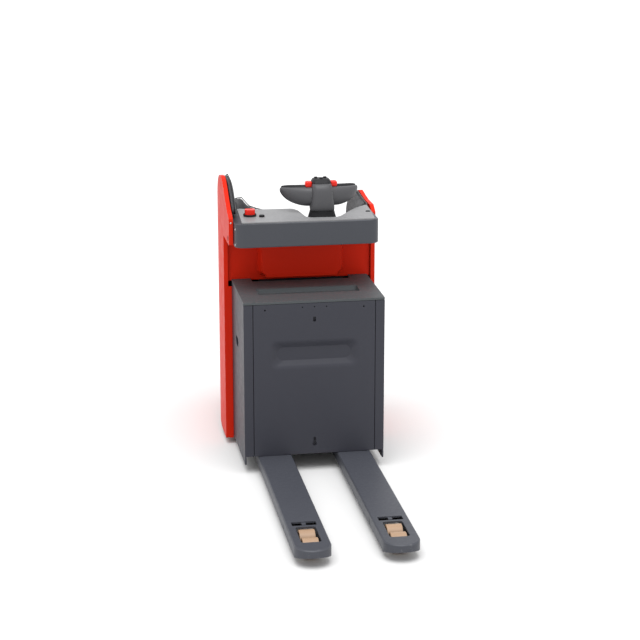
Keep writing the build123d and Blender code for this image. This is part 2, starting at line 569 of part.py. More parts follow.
PAD_IN = SHELL_WALL + 5
PAD_OUT = PAD_IN + PAD_THICKNESS
left_pad_profile = [(274, 1196), (274, 1226), (340, 1277), (400, 1308), (437, 1324),
                    (480, 1334), (560, 1338), (625, 1322), (700, 1246), (800, 1178),
                    (880, 1150), (960, 1134), (1078, 1106), (1078, 560), (BACK_Y + 8, 560),
                    (BACK_Y + 8, 1045), (455, 1045), (455, 1196)]
node("left_pad", band(PAD_IN, PAD_OUT, 500, 1360) & side_prism(left_pad_profile, -WIDE, 0))
rear_pad = band(PAD_IN, PAD_OUT, 560, 1104)
rear_pad -= block(-WIDE, WIDE, 0, 1080, 0, 1400) + block(REAR_ENTRY[0], WIDE, 0, 1400, 0, 1400)
node("rear_pad", rear_pad - front_prism([(x, z + 6) for x, z in rear_fall], REAR_Y - 120,
                                        REAR_Y + 1))
right_pad_profile = [(455, 1196), (575, 1198), (640, 1206), (708, 1216), (770, 1198),
                     (815, 1140), (830, 1080), (830, 560), (BACK_Y + 8, 560),
                     (BACK_Y + 8, 1045), (455, 1045)]
node("right_pad", band(PAD_IN, PAD_OUT, 500, 1360) & side_prism(right_pad_profile, 0, WIDE))

bumper = band(0, RETURN_WIDTH, SHELL_BOTTOM, PLATFORM_TOP - 4)
bumper -= block(-WIDE, REAR_ENTRY[0] + 2, 0, REAR_Y + 1, 0, 400)
bumper -= block(-WIDE, WIDE, 0, REAR_ENTRY[1] + 2, 0, 400)
node("rear_bumper", bumper)

# ---------------------------------------------------------------- platform
deck = filled(RETURN_WIDTH + 3, BASE_Z + PLATE, PLATFORM_TOP)
deck -= block(-WIDE, WIDE, 0, BACK_Y + 8, 0, 400)
node("platform_plate", deck)
MAT_TRAVEL = 4.0
mat = block(-200, 200, 800, 1120, PLATFORM_TOP + MAT_TRAVEL + 0.5,
            PLATFORM_TOP + MAT_TRAVEL + 10.5)
mat = fillet(mat.edges().filter_by(Axis.Z), 30)
for index in range(9):
    mat -= bar("Y", -160 + index * 40, 960, PLATFORM_TOP + MAT_TRAVEL + 11.5, 2.5, 280)
node("presence_mat", mat)

# ---------------------------------------------------------------- console
CONSOLE_LEFT = -CHASSIS_HALF + SHELL_WALL + 3
CONSOLE_RIGHT = 337.0
CONSOLE_CORNER = 40.0
CONSOLE_REAR = BULKHEAD_Y
WELL_FLOOR = 1088.0
TOP_THICKNESS = 6.0
STOP = (-262.0, 262.0)
KEY = (-208.0, 237.0)
PLUG = (311.0, 275.0)
# plan of the open well that the tiller stands in; it widens towards the operator
WELL = [(-38, CONSOLE_REAR + 6), (-35, 385), (-10, 290), (0, 205), (18, 180), (140, 172),
        (164, 197), (213, 279), (266, 362), (305, 402), (312, CONSOLE_REAR + 6)]


def console_block(inset, z0, z1):
    """The console's plan, its two front corners rounded, drawn in by inset."""
    body = block(CONSOLE_LEFT + inset, CONSOLE_RIGHT - inset, CONSOLE_FRONT + inset,
                 CONSOLE_REAR, z0, z1)
    return fillet(body.edges().filter_by(Axis.Z).group_by(Axis.Y)[0], CONSOLE_CORNER - inset)


console = console_block(0, CONSOLE_BOTTOM, CONSOLE_TOP - TOP_THICKNESS - 2)
console -= console_block(SHEET, CONSOLE_BOTTOM + SHEET, CONSOLE_TOP)
console -= bar("Z", TILLER_X, TILLER_Y, CONSOLE_BOTTOM, 29, 40)
node("console_body", console)

top = console_block(3, CONSOLE_TOP - TOP_THICKNESS, CONSOLE_TOP)
top -= block(-WIDE, WIDE, CONSOLE_REAR - 5, CONSOLE_REAR + 1, 1000, 1300)
tub = flat_prism(WELL, WELL_FLOOR - SHEET, CONSOLE_TOP)
tub_wall = offset(make_face(Polyline(*WELL, close=True)), SHEET)
tub_wall = Pos(0, 0, WELL_FLOOR - SHEET) * extrude(tub_wall, CONSOLE_TOP - WELL_FLOOR)
tub_wall -= block(-WIDE, WIDE, CONSOLE_REAR - 5, CONSOLE_REAR + 50, 1000, 1300)
top = top + tub_wall - Pos(0, 0, SHEET) * tub
top -= bar("Z", *STOP, CONSOLE_TOP, 30.5, 40)
top -= bar("Z", *KEY, CONSOLE_TOP, 14, 40)
top -= bar("Z", *PLUG, CONSOLE_TOP, 7, 40)
top -= bar("Z", TILLER_X, TILLER_Y, WELL_FLOOR, 29, 40)
node("console_top", top)

screws = []
for y, z in ((193, 1153), (162, 1080)):
    screws.append(bar("X", CONSOLE_LEFT - 0.5, y, z, 4, 1))
for y, z in SHELL_SCREWS:
    screws.append(bar("X", -CHASSIS_HALF + 1.5, y, z, 5, 3))
node("console_screws", *screws)

collar = bar("Z", *STOP, CONSOLE_TOP - 12, 30, 26)
collar -= bar("Z", *STOP, CONSOLE_TOP, 28, 30)
collar -= bar("Z", *STOP, CONSOLE_TOP - 12, 13, 40)
node("stop_collar", collar)
STOP_TRAVEL = 6.0
STOP_HALF = 22.0
stop = block(STOP[0] - STOP_HALF, STOP[0] + STOP_HALF, STOP[1] - STOP_HALF + 6,
             STOP[1] + STOP_HALF - 6, CONSOLE_TOP - 8, CONSOLE_TOP + 21)
stop = fillet(stop.edges().filter_by(Axis.Z), 8)
stop = fillet(stop.edges().group_by(Axis.Z)[-1], 3)
stop += bar("Z", *STOP, CONSOLE_TOP - 15, 12.7, 16)
node("stop_button", stop)
key = bar("Z", *KEY, CONSOLE_TOP - 4, 13.4, 14) - bar("Z", *KEY, CONSOLE_TOP, 9, 4)
key += bar("Z", *KEY, CONSOLE_TOP - 1, 8, 8)
key -= block(KEY[0] - 5, KEY[0] + 5, KEY[1] - 1.2, KEY[1] + 1.2, CONSOLE_TOP - 6,
             CONSOLE_TOP + 10)
node("key_switch", key)

# ---------------------------------------------------------------- steering column and tiller
COLUMN_TOP = 1118.0
STEM = 18.0
column = bar("Z", TILLER_X, TILLER_Y, (CONSOLE_BOTTOM + COLUMN_TOP) / 2, 28,
             COLUMN_TOP - CONSOLE_BOTTOM)
column += bar("Z", TILLER_X, TILLER_Y, WELL_FLOOR + 3, 44, 6)
column -= bar("Z", TILLER_X, TILLER_Y, COLUMN_TOP - 16, STEM + FIT, 60)
node("steering_column", column)

HUB_TOP = 1354.0
hub_profile = [(TILLER_Y - 44, COLUMN_TOP + 2), (TILLER_Y + 44, COLUMN_TOP + 2),
               (TILLER_Y + 48, 1180), (TILLER_Y + 62, 1260), (TILLER_Y + 70, 1330),
               (TILLER_Y + 60, HUB_TOP), (TILLER_Y, HUB_TOP), (TILLER_Y - 30, 1340),
               (TILLER_Y - 50, 1280), (TILLER_Y - 50, 1200)]
tiller_hub = side_prism(hub_profile, TILLER_X - 42, TILLER_X + 42)
tiller_hub = fillet(tiller_hub.edges().filter_by(Axis.X), 8)
tiller_hub += Pos(TILLER_X, TILLER_Y, COLUMN_TOP + 44) * Cone(78, 42, 84)
tiller_hub += bar("Z", TILLER_X, TILLER_Y, COLUMN_TOP - 14, STEM, 50)
ROCKER_PIVOT = (TILLER_Y + 30, 1322.0)
BUTTONS = {"lift_button": (-22, 46), "lower_button": (22, 46), "horn_button": (0, 24)}
BUTTON_RADIUS = 8.0
BUTTON_TRAVEL = 3.0
for dx, dy in BUTTONS.values():
    tiller_hub -= bar("Z", TILLER_X + dx, TILLER_Y + dy, HUB_TOP, BUTTON_RADIUS + 0.4, 20)
tiller_hub -= bar("X", TILLER_X, *ROCKER_PIVOT, 5 + FIT, 100)
node("tiller_hub", tiller_hub)

for side_name, sign in (("left", -1), ("right", 1)):
    face_points = [(42, 1226), (95, 1224), (140, 1235), (170, 1254), (188, 1280), (190, 1296),
                   (184, 1303), (140, 1312), (95, 1318), (76, 1319), (74, 1304),
                   (42, 1304)]
    plan_points = [(42, -26), (90, -14), (135, 12), (170, 44), (188, 76), (190, 112),
                   (176, 120), (140, 96), (95, 68), (42, 55)]
    wing = front_prism([(TILLER_X + sign * x, z) for x, z in face_points],
                       TILLER_Y - 30, TILLER_Y + 125)
    wing &= flat_prism([(TILLER_X + sign * x, TILLER_Y + y) for x, y in plan_points],
                       1200, 1340)
    node(side_name + "_wing", wing)
for name, (dx, dy) in BUTTONS.items():
    node(name, bar("Z", TILLER_X + dx, TILLER_Y + dy, HUB_TOP - 1.5, BUTTON_RADIUS, 11))

rocker = bar("X", TILLER_X, *ROCKER_PIVOT, 5, 130)
for sign in (-1, 1):
    paddle = side_prism([(ROCKER_PIVOT[0] - 16, ROCKER_PIVOT[1] - 6),
                         (ROCKER_PIVOT[0] - 10, ROCKER_PIVOT[1] + 14),
                         (ROCKER_PIVOT[0] + 10, ROCKER_PIVOT[1] + 14),
                         (ROCKER_PIVOT[0] + 16, ROCKER_PIVOT[1] - 6)],
                        TILLER_X + sign * 43 - (0 if sign > 0 else 26),
                        TILLER_X + sign * 43 + (26 if sign > 0 else 0))
    rocker += paddle
node("thumb_rocker", rocker)

for name, shape in PARTS.items():
    shape.label = name
    export_step(shape, os.path.join("parts", name + ".step"))
print(len(PARTS), "nodes")
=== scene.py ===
"""An electric pallet truck: forks, battery section, red covers, console and tiller."""
import json
from math import asin, cos, pi, radians, sin
import bmesh
import bpy
from mathutils import Matrix, Vector


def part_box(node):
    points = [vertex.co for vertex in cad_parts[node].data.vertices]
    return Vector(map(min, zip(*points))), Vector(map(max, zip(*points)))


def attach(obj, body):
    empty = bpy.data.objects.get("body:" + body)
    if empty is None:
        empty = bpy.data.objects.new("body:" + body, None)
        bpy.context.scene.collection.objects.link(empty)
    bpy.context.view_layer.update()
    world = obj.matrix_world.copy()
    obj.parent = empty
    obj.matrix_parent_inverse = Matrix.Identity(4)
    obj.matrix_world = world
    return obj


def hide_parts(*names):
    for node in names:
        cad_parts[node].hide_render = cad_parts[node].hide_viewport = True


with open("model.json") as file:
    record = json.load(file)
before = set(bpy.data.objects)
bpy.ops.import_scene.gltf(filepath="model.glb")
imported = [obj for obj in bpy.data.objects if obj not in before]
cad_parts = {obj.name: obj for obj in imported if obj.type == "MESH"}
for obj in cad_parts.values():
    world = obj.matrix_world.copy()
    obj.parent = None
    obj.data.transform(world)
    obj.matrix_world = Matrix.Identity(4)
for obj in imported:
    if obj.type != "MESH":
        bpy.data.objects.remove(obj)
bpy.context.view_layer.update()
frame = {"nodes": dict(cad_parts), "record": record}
nodes = frame["nodes"]
home = {node: body for body, held in frame["record"]["behaviour"]["bodies"].items() for node in held}

# ------------------------------------------------------------------ studio
# A pale flat floor, an even white sky and one broad soft sun from above the right shoulder.
# The camera stands in front of the forks' left side, a little above the tiller.
scene = bpy.context.scene
scene.view_settings.view_transform = "Standard"
lens = bpy.data.cameras.new("camera")
lens.lens = 102.74
lens.sensor_width = 36.0
lens.clip_end = 200.0
camera = bpy.data.objects.new("camera", lens)
scene.collection.objects.link(camera)
camera.location = (-1.33386, -8.15007, 3.05825)
yaw, dip = 0.166, 0.274
sight = Vector((sin(yaw) * cos(dip), cos(yaw) * cos(dip), -sin(dip)))
camera.rotation_euler = sight.to_track_quat("-Z", "Y").to_euler()
scene.camera = camera

sky = bpy.data.worlds.new("studio_sky")
scene.world = sky
sky.use_nodes = True
sky.node_tree.nodes["Background"].inputs["Color"].default_value = (1.0, 1.0, 1.0, 1.0)
sky.node_tree.nodes["Background"].inputs["Strength"].default_value = 1.1
sun = bpy.data.lights.new("soft_sun", "SUN")
sun.energy = 2.5
sun.angle = radians(50)
lamp = bpy.data.objects.new("soft_sun", sun)
scene.collection.objects.link(lamp)
lamp.rotation_euler = Vector((0.12, 0.30, -1.0)).to_track_quat("-Z", "Y").to_euler()

ground = bmesh.new()
bmesh.ops.create_grid(ground, x_segments=4, y_segments=4, size=60.0)
ground_mesh = bpy.data.meshes.new("studio_floor")
ground.to_mesh(ground_mesh)
ground.free()
floor = bpy.data.objects.new("studio_floor", ground_mesh)
scene.collection.objects.link(floor)
floor_paint = bpy.data.materials.new("studio_floor")
floor_paint.use_nodes = True
floor_paint.node_tree.nodes["Principled BSDF"].inputs["Base Color"].default_value = (0.66, 0.66, 0.66, 1.0)
floor_paint.node_tree.nodes["Principled BSDF"].inputs["Roughness"].default_value = 0.9
floor_paint.node_tree.nodes["Principled BSDF"].inputs["Specular IOR Level"].default_value = 0.0
ground_mesh.materials.append(floor_paint)

# ------------------------------------------------------------------ forks
# Two pressed steel channels, open below, with rounded noses that lift slightly at the tip.
# Grey powder coat, rubbed pale in patches towards the tips where pallets drag over it.


def finish_of(name, colour, shade, roughness, grain, depth, patch=4.0, metal=0.0, gloss=0.35,
              stretch=(1.0, 1.0, 1.0), pebbled=False, rub=None, rub_along=(0.5, "Y", 0.0, 1.0)):
    """A finish with slow colour drift, uneven gloss, a fine grain and, if asked, rubbed patches towards one end
    along an axis.
    """
    made = bpy.data.materials.new(name)
    made.use_nodes = True
    tree = made.node_tree
    link = tree.links.new
    shader = tree.nodes["Principled BSDF"]
    shader.inputs["Metallic"].default_value = metal
    shader.inputs["Specular IOR Level"].default_value = gloss
    where = tree.nodes.new("ShaderNodeTexCoord")
    laid = tree.nodes.new("ShaderNodeMapping")
    laid.inputs["Scale"].default_value = stretch
    link(where.outputs["Object"], laid.inputs["Vector"])
    drift = tree.nodes.new("ShaderNodeTexNoise")
    drift.inputs["Scale"].default_value = patch
    drift.inputs["Detail"].default_value = 4.0
    link(laid.outputs["Vector"], drift.inputs["Vector"])
    tint = tree.nodes.new("ShaderNodeMix")
    tint.data_type = "RGBA"
    tint.inputs["A"].default_value = (*colour, 1.0)
    tint.inputs["B"].default_value = (*shade, 1.0)
    link(drift.outputs["Fac"], tint.inputs["Factor"])
    colour_out = tint.outputs["Result"]
    scuff = tree.nodes.new("ShaderNodeTexNoise")
    scuff.inputs["Scale"].default_value = patch * 14.0
    scuff.inputs["Detail"].default_value = 6.0
    scuff.inputs["Roughness"].default_value = 0.65
    link(laid.outputs["Vector"], scuff.inputs["Vector"])
    if rub:
        high_spot, towards, low_edge, full_edge = rub_along
        spread = tree.nodes.new("ShaderNodeSeparateXYZ")
        link(where.outputs["Object"], spread.inputs["Vector"])
        near = tree.nodes.new("ShaderNodeMapRange")
        near.inputs["From Min"].default_value = low_edge
        near.inputs["From Max"].default_value = full_edge
        link(spread.outputs[towards], near.inputs["Value"])
        worn = tree.nodes.new("ShaderNodeMath")
        worn.operation = "MULTIPLY"
        link(scuff.outputs["Fac"], worn.inputs[0])
        link(near.outputs["Result"], worn.inputs[1])
        bare = tree.nodes.new("ShaderNodeMapRange")
        bare.inputs["From Min"].default_value = high_spot
        bare.inputs["From Max"].default_value = high_spot + 0.1
        link(worn.outputs["Value"], bare.inputs["Value"])
        bared = tree.nodes.new("ShaderNodeMix")
        bared.data_type = "RGBA"
        bared.inputs["B"].default_value = (*rub, 1.0)
        link(bare.outputs["Result"], bared.inputs["Factor"])
        link(colour_out, bared.inputs["A"])
        colour_out = bared.outputs["Result"]
    link(colour_out, shader.inputs["Base Color"])
    sheen = tree.nodes.new("ShaderNodeMapRange")
    sheen.inputs["From Min"].default_value = 0.3
    sheen.inputs["From Max"].default_value = 0.7
    sheen.inputs["To Min"].default_value = roughness * 0.86
    sheen.inputs["To Max"].default_value = min(1.0, roughness * 1.16)
    link(scuff.outputs["Fac"], sheen.inputs["Value"])
    link(sheen.outputs["Result"], shader.inputs["Roughness"])
    if pebbled:
        grains = tree.nodes.new("ShaderNodeTexVoronoi")
        grains.inputs["Scale"].default_value = grain
        height = grains.outputs["Distance"]
    else:
        grains = tree.nodes.new("ShaderNodeTexNoise")
        grains.inputs["Scale"].default_value = grain
        grains.inputs["Detail"].default_value = 3.0
        height = grains.outputs["Fac"]
    link(laid.outputs["Vector"], grains.inputs["Vector"])
    bump = tree.nodes.new("ShaderNodeBump")
    bump.inputs["Distance"].default_value = depth
    link(height, bump.inputs["Height"])
    link(bump.outputs["Normal"], shader.inputs["Normal"])
    return made


def dress(finish, *names):
    """Gives parts that keep their machined shape their finish."""
    for name in names:
        nodes[name].data.materials.clear()
        nodes[name].data.materials.append(finish)


def fitted(name, shape, finish, *stands_for, body=None, slot=None, crease=38.0):
    """Sets a finished shape down as a piece that rides with the parts it stands for."""
    for edge in shape.edges:
        edge.smooth = edge.calc_face_angle(0.0) < radians(crease)
    for face in shape.faces:
        face.smooth = True
    mesh = bpy.data.meshes.new(name)
    shape.to_mesh(mesh)
    shape.free()
    mesh.materials.append(finish)
    piece = bpy.data.objects.new(name, mesh)
    scene.collection.objects.link(piece)
    shading = piece.modifiers.new("even_shading", "WEIGHTED_NORMAL")
    shading.keep_sharp = True
    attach(piece, body or home[stands_for[0]])
    if stands_for:
        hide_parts(*stands_for)
    return piece


def joined(*names):
    """The shape of machined parts with their loose triangles merged into whole faces."""
    shape = bmesh.new()
    for name in names:
        shape.from_mesh(nodes[name].data)
    bmesh.ops.remove_doubles(shape, verts=shape.verts[:], dist=0.00003)
    bmesh.ops.dissolve_limit(shape, angle_limit=radians(1.0), verts=shape.verts[:],
                             edges=shape.edges[:], use_dissolve_boundaries=False,
                             delimit={"NORMAL"})
    return shape


def eased(shape, width, steps=2, least=40.0):
    """Rounds every edge sharper than the least angle."""
    hard = [e for e in shape.edges if len(e.link_faces) == 2 and e.calc_face_angle(0.0) > radians(least)]
    bmesh.ops.bevel(shape, geom=hard, offset=width, offset_type="OFFSET", segments=steps,
                    profile=0.5, affect="EDGES", clamp_overlap=True, material=-1)
    return shape


fork_grey = finish_of("fork_grey", (0.042, 0.045, 0.056), (0.052, 0.055, 0.067), 0.46, 700.0, 0.00005,
                      rub=(0.085, 0.088, 0.10), rub_along=(0.58, "Y", -0.98, -1.20))
for side in ("left", "right"):
    fitted(side + "_fork_channel", eased(joined(side + "_fork"), 0.0012), fork_grey, side + "_fork")

# ------------------------------------------------------------------ load arms and rollers
# Each fork end stands on a rocking pair of cast polyurethane rollers with steel bushes.
# The black arms, the bogies and the flat push rods are plain steel with pressed-in pins.


def turned(profile, axis_at, steps=48):
    """A body turned about a line along X: profile holds (along, radius) pairs."""
    shape = bmesh.new()
    line = [shape.verts.new((axis_at[0] + along, axis_at[1], axis_at[2] + radius))
            for along, radius in profile]
    rim = [shape.edges.new(pair) for pair in zip(line, line[1:])]
    bmesh.ops.spin(shape, geom=line + rim, cent=axis_at, axis=(1.0, 0.0, 0.0), angle=2 * pi,
                   steps=steps, use_merge=True)
    bmesh.ops.remove_doubles(shape, verts=shape.verts[:], dist=0.00001)
    bmesh.ops.recalc_face_normals(shape, faces=shape.faces[:])
    return shape


def middle_of(name):
    """The middle of a part's box."""
    low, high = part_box(name)
    return tuple((a + b) / 2 for a, b in zip(low, high))


roller_poly = finish_of("roller_poly", (0.36, 0.235, 0.15), (0.29, 0.185, 0.115), 0.42, 900.0, 0.00004,
                        patch=20.0, gloss=0.4)
machined_steel = finish_of("machined_steel", (0.42, 0.42, 0.43), (0.34, 0.34, 0.35), 0.34, 500.0, 0.00003,
                           metal=1.0, stretch=(0.1, 1.0, 1.0))
frame_black = finish_of("frame_black", (0.016, 0.016, 0.018), (0.024, 0.024, 0.026), 0.45, 650.0, 0.00006)
for side in ("left", "right"):
    for place in ("front", "rear"):
        name = side + "_" + place + "_roller"
        centre = middle_of(name)
        tread = turned([(-0.032, 0.0135), (-0.0335, 0.0145), (-0.0335, 0.031), (-0.035, 0.033),
                        (-0.035, 0.0395), (-0.0335, 0.0418), (-0.031, 0.0425), (0.031, 0.0425),
                        (0.0335, 0.0418), (0.035, 0.0395), (0.035, 0.033), (0.0335, 0.031),
                        (0.0335, 0.0145), (0.032, 0.0135), (0.032, 0.0102), (-0.032, 0.0102),
                        (-0.032, 0.0135)], centre)
        fitted(side + "_" + place + "_roller_tread", tread, roller_poly, name)
    for part in ("_load_arm", "_bogie"):
        fitted(side + part + "_casting", eased(joined(side + part), 0.001), frame_black, side + part)
dress(machined_steel, "push_rods", "rocker_shaft")

# ------------------------------------------------------------------ battery section
# A welded sheet-steel case on the forks' heels. Dark grey powder coat with a fine texture.
# A screwed front panel with a long pressed recess hides the cells and their tray.


def outline(shape, corners, rounding=0.0, steps=5):
    """Draws a closed outline at zero height, its corners rounded, and gives its edges back."""
    before = set(shape.edges)
    others = set(shape.verts)
    points = [shape.verts.new((x, y, 0.0)) for x, y in corners]
    patch = shape.faces.new(points)
    if rounding:
        bmesh.ops.bevel(shape, geom=points, offset=rounding, offset_type="OFFSET", segments=steps,
                        profile=0.5, affect="VERTICES", clamp_overlap=True, material=-1)
        patch = next(iter(set(shape.edges) - before)).link_faces[0]
    bmesh.ops.delete(shape, geom=[patch], context="FACES_KEEP_BOUNDARY")
    bmesh.ops.remove_doubles(shape, verts=[v for v in shape.verts if v not in others], dist=0.0002)
    return [edge for edge in shape.edges if edge not in before]


def sunk(shape, edges, depth, draw=0.0):
    """Carries a closed outline down by depth, drawn in evenly, and closes it there."""
    grown = bmesh.ops.extrude_edge_only(shape, edges=edges)["geom"]
    points = [v for v in grown if isinstance(v, bmesh.types.BMVert)]
    rim = [e for e in grown if isinstance(e, bmesh.types.BMEdge)
           and all(v in points for v in e.verts)]
    middle = sum((v.co for v in points), Vector()) / len(points)
    for point in points:
        reach = point.co - middle
        for axis in (0, 1):
            if abs(reach[axis]) > draw:
                point.co[axis] -= draw * (1 if reach[axis] > 0 else -1)
        point.co.z -= depth
    bmesh.ops.triangle_fill(shape, edges=rim, use_beauty=True)
    return rim


def facing_front(shape, front):
    """Stands a shape drawn lying down upright, its top facing the forks."""
    bmesh.ops.transform(shape, verts=shape.verts[:],
                        matrix=Matrix.Translation((0.0, front, 0.0)) @ Matrix.Rotation(radians(90), 4, "X"))
    return shape


def rounded_edges(shape, edges, width, steps):
    """Rounds chosen edges that are still there."""
    kept = [e for e in edges if e.is_valid]
    bmesh.ops.bevel(shape, geom=kept, offset=width, offset_type="OFFSET", segments=steps,
                    profile=0.5, affect="EDGES", clamp_overlap=True, material=-1)


def ring_of(x, y, radius, count=20):
    """Corners of a round hole."""
    return [(x + radius * cos(2 * pi * k / count), y + radius * sin(2 * pi * k / count))
            for k in range(count)]


panel_grey = finish_of("panel_grey", (0.029, 0.030, 0.040), (0.034, 0.035, 0.046), 0.46, 950.0, 0.00006,
                       patch=2.0, gloss=0.3)
fitted("battery_case", eased(joined("battery_frame"), 0.0015), panel_grey, "battery_frame")
low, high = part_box("front_panel")
panel = bmesh.new()
rim = outline(panel, [(-0.289, low.z), (0.289, low.z), (0.289, high.z), (-0.289, high.z)], 0.003, 2)
press = outline(panel, [(-0.205, 0.521), (0.205, 0.521), (0.205, 0.645), (-0.205, 0.645)], 0.030, 8)
keyhole = outline(panel, [(-0.0065, 0.142), (-0.0095, 0.138), (-0.0105, 0.134), (-0.0095, 0.129),
                          (-0.006, 0.125), (0.0, 0.1235), (0.006, 0.125), (0.0095, 0.129),
                          (0.0105, 0.134), (0.0095, 0.138), (0.0065, 0.142), (0.0065, 0.163),
                          (0.004, 0.168), (0.0, 0.170), (-0.004, 0.168), (-0.0065, 0.163)])
hook = outline(panel, [(-0.007, 0.739), (0.007, 0.739), (0.007, 0.763), (-0.007, 0.763)], 0.004, 3)
holes = [outline(panel, ring_of(x, z, r)) for x, z, r in
         ((-0.234, 0.803, 0.004), (0.234, 0.803, 0.004), (-0.057, 0.811, 0.003), (0.0, 0.811, 0.003),
          (0.057, 0.811, 0.003))]
bmesh.ops.triangle_fill(panel, edges=panel.edges[:], use_beauty=True)
floor_rim = sunk(panel, press, 0.0175, 0.030)
for hole in holes + [keyhole, hook]:
    sunk(panel, hole, 0.015)
sunk(panel, rim, 0.019)
rounded_edges(panel, rim, 0.0016, 3)
rounded_edges(panel, press, 0.010, 5)
rounded_edges(panel, floor_rim, 0.010, 5)
bmesh.ops.recalc_face_normals(panel, faces=panel.faces[:])
fitted("front_panel_pressing", facing_front(panel, low.y), panel_grey, "front_panel")

motor_paint = finish_of("motor_paint", (0.014, 0.014, 0.016), (0.022, 0.022, 0.024), 0.38, 500.0, 0.00008)
cell_case = finish_of("cell_case", (0.05, 0.05, 0.053), (0.065, 0.065, 0.07), 0.5, 600.0, 0.00004)
button_dark = finish_of("button_dark", (0.008, 0.008, 0.010), (0.013, 0.013, 0.015), 0.5, 800.0, 0.00004,
                        gloss=0.22)
chrome_rod = finish_of("chrome_rod", (0.62, 0.62, 0.64), (0.56, 0.56, 0.58), 0.12, 400.0, 0.00001, metal=1.0)
guide_plastic = finish_of("guide_plastic", (0.55, 0.53, 0.46), (0.48, 0.46, 0.40), 0.5, 500.0, 0.00004)
dress(motor_paint, "battery_tray", "lift_cylinder")
dress(cell_case, "battery_cells")
dress(button_dark, "battery_connector")
dress(chrome_rod, "lift_rod")
dress(guide_plastic, "guide_shoes")

# ------------------------------------------------------------------ battery lid
# A pressed steel lid that slides forward off the battery, with a long sunk hand grip.
# Satin powder coat, smooth enough to catch the red cover above it.
lid_grey = finish_of("lid_grey", (0.053, 0.059, 0.063), (0.060, 0.067, 0.072), 0.5, 900.0, 0.00002,
                     patch=2.0, gloss=0.3)
low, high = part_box("battery_lid")
cover = bmesh.new()
rim = outline(cover, [(low.x, low.y), (high.x, low.y), (high.x, high.y), (0.240, high.y),
                      (0.240, high.y - 0.063), (-0.240, high.y - 0.063), (-0.240, high.y),
                      (low.x, high.y)], 0.003, 2)
grip = outline(cover, [(-0.243, 0.106), (0.243, 0.106), (0.243, 0.212), (-0.243, 0.212)], 0.008, 4)
bmesh.ops.triangle_fill(cover, edges=cover.edges[:], use_beauty=True)
grip_floor = sunk(cover, grip, 0.018, 0.004)
for point in {v for e in grip_floor for v in e.verts}:
    if point.co.y > 0.16:
        point.co.y -= 0.018
hem = sunk(cover, rim, high.z - low.z - 0.0005)
bmesh.ops.delete(cover, geom=[f for f in cover.faces if all(abs(v.co.z + high.z - low.z - 0.0005) < 1e-5
                                                            for v in f.verts)], context="FACES_ONLY")
rounded_edges(cover, rim, 0.004, 4)
rounded_edges(cover, grip, 0.002, 3)
rounded_edges(cover, grip_floor, 0.004, 3)
bmesh.ops.translate(cover, vec=(0.0, 0.0, high.z), verts=cover.verts[:])
bmesh.ops.recalc_face_normals(cover, faces=cover.faces[:])
if sum(f.normal.z * f.calc_area() for f in cover.faces) < 0:
    bmesh.ops.reverse_faces(cover, faces=cover.faces[:])
fitted("battery_lid_pressing", cover, lid_grey, "battery_lid")

# ------------------------------------------------------------------ red covers
# Vacuum-formed side walls and the motor hood with its square bulge, in glossy red plastic.
# The side walls follow the chassis plan: straight, then drawn in, then round the rear corner.
RUNS = ((0.387, 0.0), (0.50446, 0.33630), (0.07161, 0.0), (0.14813, 1.23450), (0.40, 0.0))
HALF_WIDTH = 0.373
WALL_START = 0.178


def wall_run(y):
    """How far along the wall a given length along the truck is, up to the drawn-in part."""
    if y <= 0.565:
        return y - WALL_START
    return 0.565 - WALL_START + 1.5 * asin(min(1.0, (y - 0.565) / 1.5))


def wall_place(run, depth):
    """Where a point of the left wall lies in plan: run along the wall, depth inward from it."""
    x, y, heading = -HALF_WIDTH, WALL_START, 0.0
    for length, bend in RUNS:
        step = min(run, length)
        turn = bend * step / length
        if bend:
            radius = length / bend
            x += radius * (cos(heading) - cos(heading + turn))
            y += radius * (sin(heading + turn) - sin(heading))
        else:
            x += step * sin(heading)
            y += step * cos(heading)
        heading += turn
        run -= step
        if run <= 0:
            break
    return x + depth * cos(heading), y - depth * sin(heading)


def wrapped(shape, mirror=1.0, spacing=0.02):
    """Bends a flat shape (run, height, depth as X, Y, -Z) round the truck's side."""
    start = min(v.co.x for v in shape.verts)
    end = max(v.co.x for v in shape.verts)
    for k in range(1, int((end - start) / spacing) if spacing else 0):
        cut = start + k * spacing
        bmesh.ops.bisect_plane(shape, geom=shape.verts[:] + shape.edges[:] + shape.faces[:],
                               dist=0.00001, plane_co=(cut, 0, 0), plane_no=(1, 0, 0))
    for point in shape.verts:
        run, height, depth = point.co.x, point.co.y, -point.co.z
        x, y = wall_place(run, depth)
        point.co = (mirror * x, y, height)
    bmesh.ops.recalc_face_normals(shape, faces=shape.faces[:])
    return shape


red_cover = finish_of("red_cover", (0.58, 0.020, 0.006), (0.54, 0.018, 0.006), 0.40, 320.0, 0.00003,
                      gloss=0.05, patch=1.5)
REAR_RUN = 0.387 + 0.50446 + 0.07161 + 0.14813
WALL_THICKNESS = 0.020
SLOT_RUN = 0.034
SLOT_HEIGHT = 1.097
left_wall = bmesh.new()
left_rim = [(0.410, 0.03), (0.410, 1.067), (0.178, 1.067), (0.178, 1.200), (0.255, 1.225),
            (0.328, 1.268), (0.400, 1.314), (0.444, 1.334), (0.485, 1.343), (0.560, 1.334),
            (0.619, 1.305), (0.700, 1.232), (0.800, 1.162), (0.880, 1.134), (0.960, 1.116),
            (1.050, 1.092)]
left_corners = [(wall_run(y), z) for y, z in left_rim]
rear_x = wall_place(REAR_RUN, 0.0)[0]
left_corners += [(REAR_RUN + x - rear_x, z) for x, z in
                 ((-0.212, 1.072), (-0.170, 1.044), (-0.149, 1.028), (-0.112, 1.014), (-0.072, 1.004),
                  (-0.072, 0.03))]
edge = outline(left_wall, left_corners, 0.009, 3)
slot = outline(left_wall, [(SLOT_RUN + 0.0058 * cos(pi * k / 8), SLOT_HEIGHT + 0.0145 * sin(pi * k / 8))
                           for k in range(16)])
bmesh.ops.triangle_fill(left_wall, edges=left_wall.edges[:], use_beauty=True)
